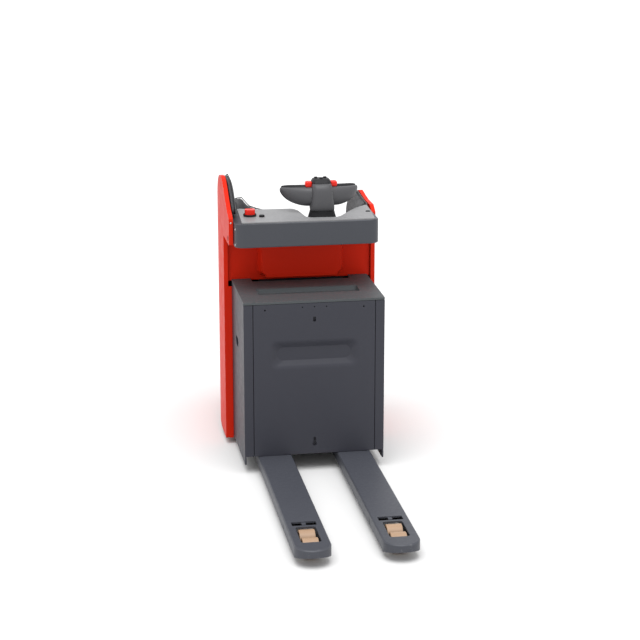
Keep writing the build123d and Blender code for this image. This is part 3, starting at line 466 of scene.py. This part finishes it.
sunk(left_wall, slot, 0.006)
back_rim = sunk(left_wall, edge, WALL_THICKNESS)
rounded_edges(left_wall, edge + back_rim, 0.007, 4)
wrapped(left_wall)
fitted("left_side_wall", left_wall, red_cover, "left_shell")
# Painted shade: a dark ellipsoid fills the sunk slot in the left wall and stands for the dark inside of the
# slot's opening. It is not a part of its own.
painted_slot_shade = bmesh.new()
bmesh.ops.create_uvsphere(painted_slot_shade, u_segments=24, v_segments=12, radius=1.0,
                          matrix=Matrix.Translation((-0.3725, WALL_START + SLOT_RUN, SLOT_HEIGHT))
                          @ Matrix.Diagonal((0.003, 0.0062, 0.0148, 1.0)))
fitted("wall_slot_plug", painted_slot_shade, button_dark, body="chassis", slot="button_dark")
strip = bmesh.new()
bmesh.ops.create_cube(strip, size=1.0, matrix=Matrix.Translation((-0.3445, 0.414, 0.4195))
                      @ Matrix.Diagonal((0.021, 0.008, 0.779, 1.0)))
eased(strip, 0.003, 3)
fitted("left_wall_return", strip, red_cover, body="chassis", slot="red_cover")

right_wall = bmesh.new()
edge = outline(right_wall, [(wall_run(y), z) for y, z in
                            ((0.410, 0.03), (0.410, 1.064), (0.400, 1.064), (0.400, 1.157), (0.451, 1.184),
                             (0.575, 1.182), (0.640, 1.190), (0.708, 1.205), (0.780, 1.184), (0.830, 1.130),
                             (0.855, 1.080), (0.855, 0.03))], 0.004, 3)
bmesh.ops.triangle_fill(right_wall, edges=right_wall.edges[:], use_beauty=True)
back_rim = sunk(right_wall, edge, WALL_THICKNESS)
rounded_edges(right_wall, edge + back_rim, 0.007, 4)
wrapped(right_wall, -1.0)
fitted("right_side_wall", right_wall, red_cover, "right_shell")
HOOD_FRONT = 0.4325
BULGE_LEFT, BULGE_RIGHT, BULGE_BOTTOM = -0.206, 0.214, 0.853
low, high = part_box("motor_hood")
hood = bmesh.new()
rim = outline(hood, [(low.x, 0.833), (high.x, 0.833), (high.x, high.z), (low.x, high.z)], 0.002, 2)
bulge = outline(hood, [(BULGE_LEFT, BULGE_BOTTOM), (BULGE_RIGHT, BULGE_BOTTOM),
                       (BULGE_RIGHT, high.z - 0.002), (BULGE_LEFT, high.z - 0.002)], 0.030, 6)
bmesh.ops.triangle_fill(hood, edges=hood.edges[:], use_beauty=True)
bulge_face = sunk(hood, bulge, -0.0615, 0.014)
sunk(hood, rim, 0.009)
rounded_edges(hood, bulge, 0.014, 6)
rounded_edges(hood, bulge_face, 0.020, 7)
bmesh.ops.recalc_face_normals(hood, faces=hood.faces[:])
fitted("motor_hood_moulding", facing_front(hood, HOOD_FRONT), red_cover, "motor_hood")
foot = bmesh.new()
bmesh.ops.create_cube(foot, size=1.0, matrix=Matrix.Translation((0.004, 0.4025, 0.8705))
                      @ Matrix.Diagonal((0.352, 0.0620, 0.033, 1.0)))
eased(foot, 0.004, 3)
fitted("hood_bulge_foot", foot, red_cover, body="chassis", slot="red_cover")

# ------------------------------------------------------------------ operator's compartment
# Padded walls of vinyl over foam, a ribbed rubber mat on a sprung plate, and a steel bumper.
# The compartment's rear wall closes off the drive bay.
console_dark = finish_of("console_dark", (0.040, 0.043, 0.052), (0.047, 0.050, 0.060), 0.42, 420.0, 0.00012,
                         pebbled=True)
pad_grey = finish_of("pad_grey", (0.045, 0.045, 0.05), (0.056, 0.055, 0.06), 0.5, 380.0, 0.00025,
                     pebbled=True)
mat_rubber = finish_of("mat_rubber", (0.012, 0.012, 0.013), (0.018, 0.018, 0.019), 0.7, 300.0, 0.0002,
                       pebbled=True)
deck_plate = finish_of("deck_plate", (0.022, 0.022, 0.025), (0.03, 0.03, 0.034), 0.55, 260.0, 0.0002)


def stuffed(shape, most=0.006):
    """Lets a pad swell as foam under its cover does, held flat on the side that is glued on."""
    cut = bpy.data.meshes.new("stuffing")
    shape.to_mesh(cut)
    shape.free()
    filling = bpy.data.objects.new("stuffing", cut)
    scene.collection.objects.link(filling)
    even = filling.modifiers.new("even", "REMESH")
    even.mode = "VOXEL"
    even.voxel_size = 0.006
    cover = bpy.data.meshes.new_from_object(filling.evaluated_get(bpy.context.evaluated_depsgraph_get()))
    filling.modifiers.clear()
    filling.data = cover
    swollen = [v.co.copy() for v in cover.vertices]
    skin = filling.modifiers.new("cover", "CLOTH")
    skin.settings.use_pressure = True
    skin.settings.uniform_pressure_force = 4.0
    skin.settings.effector_weights.gravity = 0.0
    skin.point_cache.frame_start = 1
    skin.point_cache.frame_end = 20
    for tick in range(1, 21):
        scene.frame_set(tick)
    blown = filling.evaluated_get(bpy.context.evaluated_depsgraph_get())
    swollen = [v.co.copy() for v in blown.data.vertices]
    scene.frame_set(1)
    shape = bmesh.new()
    shape.from_mesh(cover)
    bpy.data.objects.remove(filling)
    shape.verts.ensure_lookup_table()
    for point, target in zip(shape.verts, swollen):
        move = target - point.co
        if point.co.z > -0.030:
            move = Vector()
        if move.length > most:
            move *= most / move.length
        point.co += move
    for turn in range(3):
        bmesh.ops.smooth_vert(shape, verts=shape.verts[:], factor=0.5, use_axis_x=True, use_axis_y=True,
                              use_axis_z=True)
    return shape


def wall_pad(name, corners, mirror=1.0):
    """A vinyl pad on the inside of a side wall, with a sewn welt round its inner face."""
    shape = bmesh.new()
    edge = outline(shape, corners, 0.010, 3)
    bmesh.ops.triangle_fill(shape, edges=shape.edges[:], use_beauty=True)
    face_rim = sunk(shape, edge, 0.024, 0.003)
    rounded_edges(shape, face_rim, 0.008, 3)
    bmesh.ops.translate(shape, vec=(0.0, 0.0, -0.026), verts=shape.verts[:])
    bmesh.ops.recalc_face_normals(shape, faces=shape.faces[:])
    cushion = fitted(name + "_cushion", wrapped(stuffed(shape), mirror, None), pad_grey, name, crease=70)
    soften = cushion.modifiers.new("foam", "SUBSURF")
    soften.levels = 1
    soften.render_levels = 1
    cushion.modifiers.move(len(cushion.modifiers) - 1, 0)
    path = bpy.data.curves.new(name + "_welt", "CURVE")
    path.dimensions = "3D"
    path.bevel_depth = 0.0026
    path.bevel_resolution = 2
    run = path.splines.new("POLY")
    run.points.add(len(corners) - 1)
    for spot, corner in zip(run.points, corners):
        spot.co = (corner[0], corner[1], -0.041, 1.0)
    run.use_cyclic_u = True
    cord = bpy.data.objects.new("welt", path)
    scene.collection.objects.link(cord)
    tube = bmesh.new()
    tube.from_mesh(bpy.data.meshes.new_from_object(cord.evaluated_get(bpy.context.evaluated_depsgraph_get())))
    bpy.data.objects.remove(cord)
    fitted(name + "_welt", wrapped(tube, mirror, 0.03), button_dark, body="chassis", slot="button_dark",
           crease=80)


def on_rear(x):
    """How far along the wall a point of its straight rear part lies."""
    return REAR_RUN + x - rear_x


wall_pad("left_pad", [(wall_run(y), z) for y, z in
                      ((0.277, 1.199), (0.277, 1.224), (0.342, 1.275), (0.401, 1.306), (0.438, 1.321),
                       (0.480, 1.331), (0.558, 1.335), (0.622, 1.319), (0.698, 1.244), (0.798, 1.175),
                       (0.879, 1.147), (0.959, 1.131), (1.050, 1.110), (1.050, 0.563), (0.776, 0.563),
                       (0.776, 1.048), (0.458, 1.048), (0.458, 1.199))])
wall_pad("rear_pad", [(0.918, 1.100), (on_rear(-0.212), 1.090), (on_rear(-0.170), 1.058),
                      (on_rear(-0.149), 1.042), (on_rear(-0.112), 1.028), (on_rear(-0.074), 1.018),
                      (on_rear(-0.074), 0.563), (0.918, 0.563)])
wall_pad("right_pad", [(wall_run(y), z) for y, z in
                       ((0.458, 1.193), (0.575, 1.195), (0.640, 1.203), (0.708, 1.213), (0.768, 1.195),
                        (0.812, 1.138), (0.827, 1.080), (0.827, 0.563), (0.776, 0.563), (0.776, 1.048),
                        (0.458, 1.048))], -1.0)
fitted("compartment_panel", eased(joined("compartment_wall"), 0.0015), console_dark, "compartment_wall")
fitted("bumper_casting", eased(joined("rear_bumper"), 0.004, 3), frame_black, "rear_bumper")
fitted("standing_mat", eased(joined("presence_mat"), 0.0012), mat_rubber, "presence_mat")
dress(deck_plate, "platform_plate")
dress(frame_black, "chassis_frame")

# ------------------------------------------------------------------ console
# A moulded tray over the motor hood with a lighter top, sunk in the middle for the tiller.
# Textured polypropylene, screwed to the red side walls.
console_light = finish_of("console_light", (0.19, 0.19, 0.197), (0.215, 0.215, 0.222), 0.45, 420.0, 0.00012,
                          pebbled=True)


def console_plan(shape, inset, corner):
    """The console's plan with its two front corners rounded."""
    low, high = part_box("console_body")
    before = set(shape.edges)
    points = [shape.verts.new((x, y, 0.0)) for x, y in
              ((low.x + inset, low.y + inset), (high.x - inset, low.y + inset),
               (high.x - inset, high.y), (low.x + inset, high.y))]
    patch = shape.faces.new(points)
    bmesh.ops.bevel(shape, geom=points[:2], offset=corner, offset_type="OFFSET", segments=8, profile=0.5,
                    affect="VERTICES", clamp_overlap=True, material=-1)
    return [e for e in shape.edges if e not in before]


low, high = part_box("console_body")
tray = bmesh.new()
console_plan(tray, 0.0, 0.042)
walls = bmesh.ops.extrude_face_region(tray, geom=tray.faces[:])["geom"]
bmesh.ops.translate(tray, vec=(0.0, 0.0, high.z - low.z - 0.002),
                    verts=[v for v in walls if isinstance(v, bmesh.types.BMVert)])
bmesh.ops.recalc_face_normals(tray, faces=tray.faces[:])
bmesh.ops.delete(tray, geom=[f for f in tray.faces if f.normal.z > 0.9 or f.normal.y > 0.9], context="FACES")
base_rim = [e for e in tray.edges if len(e.link_faces) == 2 and all(v.co.z < 0.01 for v in e.verts)]
rounded_edges(tray, base_rim, 0.004, 3)
bmesh.ops.translate(tray, vec=(0.0, 0.0, low.z), verts=tray.verts[:])
bmesh.ops.solidify(tray, geom=tray.faces[:], thickness=0.004)
fitted("console_tray", tray, console_dark, "console_body")

STOP_X, STOP_Y = -0.262, 0.262
KEY_X, KEY_Y = -0.208, 0.237


def console_plate(left_front, left_rear, right, front):
    """A plate over the console with the open well cut into its rear edge, and its two holes."""
    shape = bmesh.new()
    rim = outline(shape, [(left_front, front), (right - 0.018, front), (right - 0.004, 0.300), (right, 0.428),
                          (0.305, 0.402), (0.266, 0.362), (0.213, 0.279), (0.166, 0.200),
                          (0.143, 0.176), (0.020, 0.183), (-0.002, 0.206), (-0.010, 0.282),
                          (-0.018, 0.352), (-0.038, 0.396), (-0.186, 0.401), (left_rear, 0.434)],
                  0.011, 4)
    bores = [outline(shape, ring_of(STOP_X, STOP_Y, 0.0305, 32)), outline(shape, ring_of(KEY_X, KEY_Y, 0.0140))]
    bmesh.ops.triangle_fill(shape, edges=shape.edges[:], use_beauty=True)
    for bore in bores:
        sunk(shape, bore, 0.004)
        bmesh.ops.delete(shape, geom=[f for f in shape.faces if f.calc_center_median().z < -0.0035],
                         context="FACES_ONLY")
    return shape, rim


top_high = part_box("console_top")[1]
deck, deck_rim = console_plate(-0.318, -0.303, 0.333, 0.1215)
well_side = [e for e in deck_rim if e.is_valid and min(v.co.y for v in e.verts) > 0.15
             and -0.30 < min(v.co.x for v in e.verts) and max(v.co.x for v in e.verts) < 0.325]
dropped = bmesh.ops.extrude_edge_only(deck, edges=well_side)["geom"]
for point in [v for v in dropped if isinstance(v, bmesh.types.BMVert)]:
    point.co.z -= 0.090
hem = [e for e in deck_rim if e.is_valid and e not in well_side]
hemmed = bmesh.ops.extrude_edge_only(deck, edges=hem)["geom"]
for point in [v for v in hemmed if isinstance(v, bmesh.types.BMVert)]:
    point.co.z -= 0.0055
rounded_edges(deck, hem, 0.004, 3)
rounded_edges(deck, well_side, 0.009, 5)
bmesh.ops.translate(deck, vec=(0.0, 0.0, top_high.z), verts=deck.verts[:])
bmesh.ops.recalc_face_normals(deck, faces=deck.faces[:])
if sum(f.normal.z * f.calc_area() for f in deck.faces) < 0:
    bmesh.ops.reverse_faces(deck, faces=deck.faces[:])
bmesh.ops.solidify(deck, geom=deck.faces[:], thickness=0.003)
fitted("console_deck", deck, console_light, "console_top")

skirt = bmesh.new()
console_plan(skirt, 0.0005, 0.0415)
bmesh.ops.delete(skirt, geom=skirt.faces[:], context="FACES_KEEP_BOUNDARY")
outer = set(skirt.verts)
outline(skirt, [(-0.3155, 0.124), (0.316, 0.124), (0.331, 0.300), (0.3305, 0.4385), (-0.3005, 0.4385)],
        0.010, 3)
bmesh.ops.triangle_fill(skirt, edges=skirt.edges[:], use_beauty=True)
bmesh.ops.delete(skirt, geom=[f for f in skirt.faces if all(v.co.y > 0.425 for v in f.verts)],
                 context="FACES")
bmesh.ops.recalc_face_normals(skirt, faces=skirt.faces[:])
if sum(f.normal.z * f.calc_area() for f in skirt.faces) < 0:
    bmesh.ops.reverse_faces(skirt, faces=skirt.faces[:])
for point in skirt.verts:
    if point not in outer:
        point.co.z = high.z + 0.0035
    else:
        point.co.z = high.z - (0.010 if point.co.x < -0.30 else 0.001)
bmesh.ops.solidify(skirt, geom=skirt.faces[:], thickness=0.002)
fitted("console_edge_strip", skirt, console_dark, body="chassis", slot="console_dark", crease=50)
tub = bmesh.new()
edge = outline(tub, [(-0.036, 0.441), (-0.028, 0.352), (-0.012, 0.282), (0.0, 0.200), (0.020, 0.180),
                     (0.143, 0.172), (0.166, 0.198), (0.213, 0.277), (0.266, 0.360), (0.305, 0.400),
                     (0.312, 0.441)])
bmesh.ops.triangle_fill(tub, edges=tub.edges[:], use_beauty=True)
bmesh.ops.translate(tub, vec=(0.0, 0.0, 1.089), verts=tub.verts[:])
bmesh.ops.recalc_face_normals(tub, faces=tub.faces[:])
bmesh.ops.solidify(tub, geom=tub.faces[:], thickness=0.003)
fitted("well_floor", tub, console_dark, body="chassis", slot="console_dark")
screw_steel = finish_of("screw_steel", (0.5, 0.5, 0.5), (0.42, 0.42, 0.42), 0.3, 500.0, 0.00003, metal=1.0)
screws = bmesh.new()
for centre, faces_side in (((-0.3472, 0.1426, 1.153), radians(-70)), ((-0.3472, 0.1426, 1.080), radians(-70)),
                           ((-0.3630, 0.1782, 1.176), 0.0)):
    bmesh.ops.create_uvsphere(screws, u_segments=16, v_segments=10, radius=1.0,
                              matrix=Matrix.Translation(centre) @ Matrix.Rotation(faces_side, 4, "Z")
                              @ Matrix.Diagonal((0.0045, 0.0022, 0.0045, 1.0)))
fitted("console_screw_heads", screws, screw_steel, "console_screws")
button_red = finish_of("button_red", (0.68, 0.018, 0.008), (0.62, 0.015, 0.007), 0.30, 500.0, 0.00002,
                       gloss=0.25)
dress(button_dark, "lift_button", "lower_button", "horn_button", "steering_column")


def upright(profile, centre, steps=48):
    """A body turned about a vertical line: profile holds (height, radius) pairs."""
    shape = turned(profile, (0.0, 0.0, 0.0), steps)
    bmesh.ops.transform(shape, matrix=Matrix.Translation(centre) @ Matrix.Rotation(radians(-90), 4, "Y"),
                        verts=shape.verts[:])
    return shape


low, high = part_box("stop_collar")
dish = upright([(0.0, 0.0132), (0.010, 0.0132), (0.011, 0.022), (0.018, 0.0272), (0.0205, 0.0290),
                (0.0205, 0.0302), (0.0190, 0.0312), (0.0, 0.0300), (0.0, 0.0132)],
               (STOP_X, STOP_Y, top_high.z - 0.010))
fitted("stop_recess", dish, button_dark, "stop_collar")
low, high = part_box("stop_button")
cap = bmesh.new()
bmesh.ops.create_cube(cap, size=1.0, matrix=Matrix.Translation((STOP_X, STOP_Y, high.z - 0.006))
                      @ Matrix.Diagonal((0.0470, 0.0370, 0.036, 1.0)))
bmesh.ops.bevel(cap, geom=[e for e in cap.edges if abs(e.verts[0].co.z - e.verts[1].co.z) > 0.01],
                offset=0.008, offset_type="OFFSET", segments=5, profile=0.5, affect="EDGES",
                clamp_overlap=True, material=-1)
lid_face = [f for f in cap.faces if f.normal.z > 0.9]
bmesh.ops.inset_region(cap, faces=lid_face, thickness=0.004, depth=-0.0015, use_even_offset=True)
eased(cap, 0.0018, 3, 35.0)
fitted("stop_cap", cap, button_red, "stop_button")
low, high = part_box("key_switch")
barrel = upright([(0.0, 0.004), (0.0, 0.0120), (0.003, 0.0133), (0.006, 0.0133), (0.0085, 0.0122),
                  (0.0095, 0.0105), (0.0085, 0.0085), (0.0085, 0.0040), (0.0105, 0.0030), (0.0105, 0.0004),
                  (0.0, 0.0004), (0.0, 0.004)], (KEY_X, KEY_Y, top_high.z - 0.0005))
fitted("key_barrel", barrel, button_dark, "key_switch")
blank = bmesh.new()
bmesh.ops.create_uvsphere(blank, u_segments=24, v_segments=12, radius=1.0,
                          matrix=Matrix.Translation((0.311, 0.275, top_high.z))
                          @ Matrix.Diagonal((0.0125, 0.0125, 0.0040, 1.0)))
fitted("console_blank", blank, button_dark, body="chassis", slot="button_dark")

# ------------------------------------------------------------------ tiller
# A butterfly handle: a hub on a flared stem with two drooping soft wings and a red thumb rocker.
TILLER_X, TILLER_Y = 0.085, 0.265
tiller_plastic = finish_of("tiller_plastic", (0.055, 0.055, 0.06), (0.065, 0.065, 0.07), 0.42, 500.0, 0.0001,
                           pebbled=True)


def lofted(levels, rounding=0.55, steps=3):
    """A closed form through stacked sections: each level is (height, middle x, middle y, half x, half y)."""
    shape = bmesh.new()
    ring = outline(shape, [(-1, -1), (1, -1), (1, 1), (-1, 1)], rounding, steps)
    first = ring
    last = (0.0, 0.0, 0.0, 1.0, 1.0)
    for step, level in enumerate(levels):
        if step:
            grown = bmesh.ops.extrude_edge_only(shape, edges=ring)["geom"]
            points = [v for v in grown if isinstance(v, bmesh.types.BMVert)]
            ring = [e for e in grown if isinstance(e, bmesh.types.BMEdge)
                    and all(v in points for v in e.verts)]
        else:
            points = list({v for e in ring for v in e.verts})
        for point in points:
            point.co.x = level[1] + (point.co.x - last[1]) / last[3] * level[3]
            point.co.y = level[2] + (point.co.y - last[2]) / last[4] * level[4]
            point.co.z = level[0]
        last = level
    bmesh.ops.contextual_create(shape, geom=ring)
    bmesh.ops.contextual_create(shape, geom=first)
    bmesh.ops.recalc_face_normals(shape, faces=shape.faces[:])
    return shape


def smoothed(piece, levels=2):
    """Rounds a moulding with a subdivision surface."""
    round_off = piece.modifiers.new("moulded", "SUBSURF")
    round_off.levels = levels
    round_off.render_levels = levels
    piece.modifiers.move(len(piece.modifiers) - 1, 0)
    return piece


stem = lofted([(1.121, TILLER_X, TILLER_Y, 0.0790, 0.0770), (1.124, TILLER_X, TILLER_Y, 0.0795, 0.0775),
               (1.145, TILLER_X, TILLER_Y, 0.0750, 0.0690), (1.17, TILLER_X, TILLER_Y, 0.0690, 0.0560),
               (1.195, TILLER_X, 0.264, 0.06201, 0.047), (1.215, TILLER_X, 0.263, 0.05616, 0.046),
               (1.232, TILLER_X, 0.264, 0.05382, 0.048), (1.24, TILLER_X, TILLER_Y, 0.05148, 0.046)], 0.95, 5)
smoothed(fitted("tiller_stem", stem, button_dark, body="tiller", slot="button_dark", crease=80))
hub = lofted([(1.206, TILLER_X, 0.262, 0.05499, 0.04), (1.21, TILLER_X, 0.262, 0.05792, 0.046),
              (1.228, TILLER_X, 0.263, 0.0585, 0.05), (1.262, TILLER_X, 0.267, 0.05323, 0.054),
              (1.295, TILLER_X, 0.272, 0.05089, 0.056), (1.316, TILLER_X, 0.277, 0.04972, 0.055),
              (1.33, TILLER_X, 0.283, 0.0468, 0.049), (1.335, TILLER_X, 0.286, 0.04329, 0.045)])
smoothed(fitted("tiller_hub_front", hub, tiller_plastic, "tiller_hub", crease=80))
crown = lofted([(1.318, TILLER_X, 0.286, 0.0440, 0.0440), (1.322, TILLER_X, 0.288, 0.0470, 0.0455),
                (1.340, TILLER_X, 0.294, 0.0455, 0.0400), (1.349, TILLER_X, 0.298, 0.0410, 0.0340),
                (1.353, TILLER_X, 0.300, 0.0350, 0.0270)])
eased(crown, 0.003, 3, 15.0)
fitted("tiller_crown", crown, button_dark, body="tiller", slot="button_dark")


def wing(levels, mirror):
    """One drooping wing: levels are (reach, middle y, middle z, half y, half z) from the hub's middle."""
    shape = lofted([(reach, middle_z, middle_y, half_z, half_y)
                    for reach, middle_y, middle_z, half_y, half_z in levels], 0.85, 4)
    for point in shape.verts:
        across, along, reach = point.co
        point.co = (TILLER_X + mirror * reach, TILLER_Y + along, across)
    bmesh.ops.recalc_face_normals(shape, faces=shape.faces[:])
    return shape


for side, mirror in (("left", -1), ("right", 1)):
    front = wing([(0.030, 0.006, 1.272, 0.030, 0.044), (0.048, 0.008, 1.271, 0.031, 0.045),
                  (0.080, 0.017, 1.269, 0.030, 0.045), (0.115, 0.033, 1.270, 0.027, 0.041),
                  (0.148, 0.053, 1.274, 0.023, 0.034), (0.172, 0.073, 1.281, 0.018, 0.025),
                  (0.185, 0.088, 1.288, 0.012, 0.015), (0.1895, 0.094, 1.291, 0.006, 0.007)], mirror)
    smoothed(fitted(side + "_wing_front", front, tiller_plastic, side + "_wing", crease=80))
    grip = wing([(0.044, 0.030, 1.287, 0.022, 0.036), (0.062, 0.033, 1.286, 0.024, 0.038),
                 (0.090, 0.043, 1.285, 0.024, 0.037), (0.122, 0.060, 1.286, 0.022, 0.033),
                 (0.150, 0.079, 1.29, 0.018, 0.026), (0.172, 0.096, 1.294, 0.013, 0.017),
                 (0.183, 0.105, 1.297, 0.007, 0.009)], mirror)
    smoothed(fitted(side + "_wing_grip", grip, button_dark, body="tiller", slot="button_dark", crease=80))

low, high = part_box("thumb_rocker")
paddles = bmesh.new()
for mirror in (-1, 1):
    bmesh.ops.create_cube(paddles, size=1.0,
                          matrix=Matrix.Translation((TILLER_X + mirror * 0.0600, 0.293, 1.3275))
                          @ Matrix.Diagonal((0.034, 0.038, 0.029, 1.0)))
eased(paddles, 0.0095, 4, 60.0)
bmesh.ops.create_cone(paddles, cap_ends=True, segments=24, radius1=0.005, radius2=0.005, depth=0.100,
                      matrix=Matrix.Translation((TILLER_X, 0.295, 1.322))
                      @ Matrix.Rotation(radians(90), 4, "Y"))
fitted("thumb_paddles", paddles, button_red, "thumb_rocker")

# ------------------------------------------------------------------ running gear
# The driven, steered wheel under its motor, its pinion and ring, the pump and two castors.
gear_steel = finish_of("gear_steel", (0.3, 0.3, 0.31), (0.22, 0.22, 0.225), 0.36, 400.0, 0.00004, metal=1.0)
cast_housing = finish_of("cast_housing", (0.03, 0.03, 0.032), (0.045, 0.045, 0.047), 0.6, 180.0, 0.0004)
alloy = finish_of("alloy", (0.45, 0.45, 0.46), (0.38, 0.38, 0.39), 0.4, 300.0, 0.00005, metal=1.0)
tyre_poly = finish_of("tyre_poly", (0.035, 0.03, 0.026), (0.05, 0.042, 0.036), 0.6, 400.0, 0.0001)
dress(gear_steel, "steer_ring", "steering_pinion")
dress(cast_housing, "drive_gearbox", "drive_wheel_hub")
dress(motor_paint, "drive_motor", "parking_brake", "steering_motor", "pump_unit")
dress(alloy, "motor_controller")
dress(tyre_poly, "drive_tyre", "left_castor_wheel", "right_castor_wheel")
dress(machined_steel, "left_castor_yoke", "right_castor_yoke")
